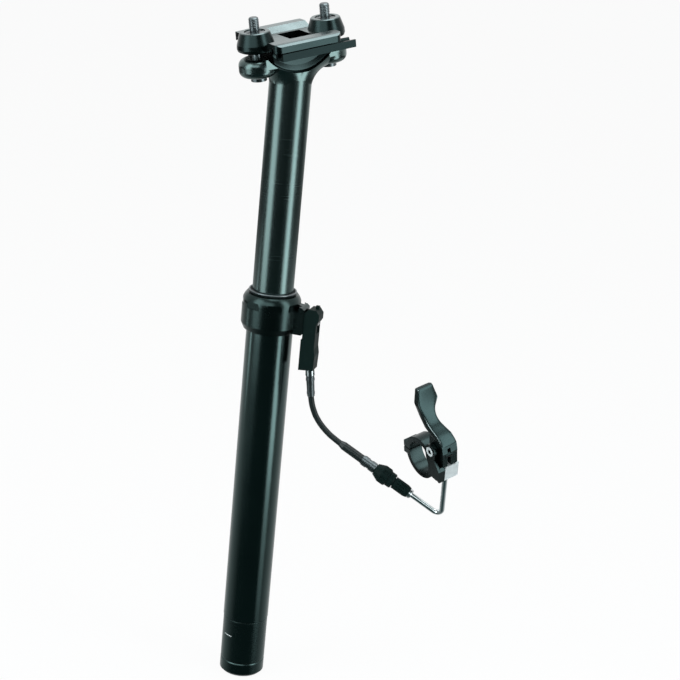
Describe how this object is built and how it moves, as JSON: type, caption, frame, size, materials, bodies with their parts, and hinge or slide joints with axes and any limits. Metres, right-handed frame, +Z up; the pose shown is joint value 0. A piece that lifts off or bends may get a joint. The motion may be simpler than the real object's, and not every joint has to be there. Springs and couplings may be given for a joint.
{
  "type": "dropper seatpost",
  "caption": "Telescoping bicycle seatpost with a tilting saddle rail clamp, a collar actuator, a cable with an in-line adjuster and a handlebar lever.",
  "frame": {"origin": "On the post's axis, on the line to which the frame's seat tube takes the post at its deepest, below the actuator.", "axes": "+Z up the post, +X to the rear of the bicycle along the saddle rails, -Y the side the cable leaves on."},
  "size_m": [0.1272, 0.1419, 0.4654],
  "materials": {
    "tube_black": "satin black coating",
    "post_black": "gloss black anodising",
    "cradle_black": "satin black coating",
    "clamp_grey": "bead-blasted light grey",
    "black_plastic": "moulded black",
    "remote_black": "black coating on cast alloy",
    "lever_black": "gloss black",
    "rubber": "matte black seal rubber",
    "cable_black": "black extruded jacket",
    "crimp_metal": "dark grey turned metal",
    "bright_ring": "polished ring",
    "pipe_steel": "polished stainless pipe",
    "silver_stop": "bright silver",
    "bolt_steel": "zinc-plated steel",
    "plain_steel": "plain machined steel",
    "bronze": "plain bearing bronze",
    "cartridge_alloy": "turned alloy"
  },
  "bodies": {
    "outer": {"outer_tube": "tube_black", "bottom_cap": "tube_black", "bottom_plug": "black_plastic", "piston_rod": "plain_steel", "rod_nut": "plain_steel", "piston": "bronze", "collar": "tube_black", "wiper_seal": "rubber", "upper_bushing": "bronze", "collar_oring": "rubber", "actuator_housing": "black_plastic", "actuator_cover": "black_plastic", "cover_screws": "bolt_steel", "crank_pin": "plain_steel", "rocker_pin": "plain_steel", "ferrule_ring": "bright_ring", "cable_ferrule": "crimp_metal", "cable_housing": "cable_black", "housing_sleeve": "cable_black", "sleeve_ferrule": "crimp_metal", "coupler_body": "black_plastic", "guide_pipe": "pipe_steel", "cable_stop": "silver_stop", "remote_body": "remote_black", "bar_clamp": "remote_black", "clamp_bolts": "bolt_steel", "pivot_bolt": "bolt_steel"},
    "post": {"inner_post": "post_black", "lower_bushing": "bronze", "guide_keys": "bronze", "post_foot": "cartridge_alloy", "cartridge_tube": "cartridge_alloy", "cartridge_cap": "cartridge_alloy", "rod_gland": "cartridge_alloy", "saddle_bolts": "bolt_steel", "bolt_washers": "bolt_steel"},
    "rail_clamp": {"lower_cradle": "cradle_black", "upper_clamp": "clamp_grey"},
    "front_nut": {"front_nut": "bolt_steel"},
    "rear_nut": {"rear_nut": "bolt_steel"},
    "crank": {"bell_crank": "plain_steel", "crank_nipple": "plain_steel"},
    "strip": {"release_strip": "plain_steel"},
    "rocker": {"valve_rocker": "plain_steel"},
    "valve": {"valve_pin": "plain_steel"},
    "barrel": {"adjuster_barrel": "black_plastic"},
    "lever": {"thumb_lever": "lever_black", "lever_nipple": "plain_steel"}
  },
  "joints": [
    {"name": "post_drop", "type": "slide", "parent": "outer", "child": "post", "axis": [0, 0, 1], "range_m": [-0.125, 0], "stiffness_N_per_m": 500, "springref_m": 0.5},
    {"name": "saddle_tilt", "type": "hinge", "parent": "post", "child": "rail_clamp", "pos_m": [-0.004, 0, 0.263], "axis": [0, 1, 0], "range_deg": [-5, 5]},
    {"name": "front_nut_run", "type": "slide", "parent": "post", "child": "front_nut", "axis": [-0.1908, 0, 0.9816], "range_m": [-0.0023, 0.0023]},
    {"name": "rear_nut_run", "type": "slide", "parent": "post", "child": "rear_nut", "axis": [-0.1908, 0, 0.9816], "range_m": [-0.0023, 0.0023]},
    {"name": "remote_lever", "type": "hinge", "parent": "outer", "child": "lever", "pos_m": [0.07291, -0.10365, 0.00729], "axis": [-0.9646, -0.0506, -0.2588], "range_deg": [0, 20], "stiffness_Nm_per_rad": 0.4, "springref_deg": -34.38},
    {"name": "bell_crank_turn", "type": "hinge", "parent": "outer", "child": "crank", "pos_m": [0.01794, -0.01923, 0.07], "axis": [0.7314, 0.682, 0], "range_deg": [-1, 34]},
    {"name": "release_strip_lift", "type": "slide", "parent": "outer", "child": "strip", "axis": [0, 0, 1], "range_m": [-0.0002, 0.0056]},
    {"name": "valve_rocker_turn", "type": "hinge", "parent": "outer", "child": "rocker", "pos_m": [-0.00546, 0.00585, -0.17075], "axis": [-0.7314, -0.682, 0], "range_deg": [-1, 18]},
    {"name": "valve_pin_lift", "type": "slide", "parent": "outer", "child": "valve", "axis": [0, 0, 1], "range_m": [-0.0001, 0.0028]},
    {"name": "adjuster_spin", "type": "hinge", "parent": "outer", "child": "barrel", "pos_m": [0.0598, -0.06412, -0.02598], "axis": [0.6077, -0.6516, -0.454], "continuous": true}
  ],
  "couplings": [
    {"joint": "front_nut_run", "follows": "saddle_tilt", "m_per_rad": 0.0253},
    {"joint": "rear_nut_run", "follows": "saddle_tilt", "m_per_rad": -0.0253},
    {"joint": "bell_crank_turn", "follows": "remote_lever", "ratio": 1.4706},
    {"joint": "release_strip_lift", "follows": "remote_lever", "m_per_rad": 0.01375},
    {"joint": "valve_rocker_turn", "follows": "remote_lever", "ratio": 0.7405},
    {"joint": "valve_pin_lift", "follows": "remote_lever", "m_per_rad": 0.00682}
  ]
}
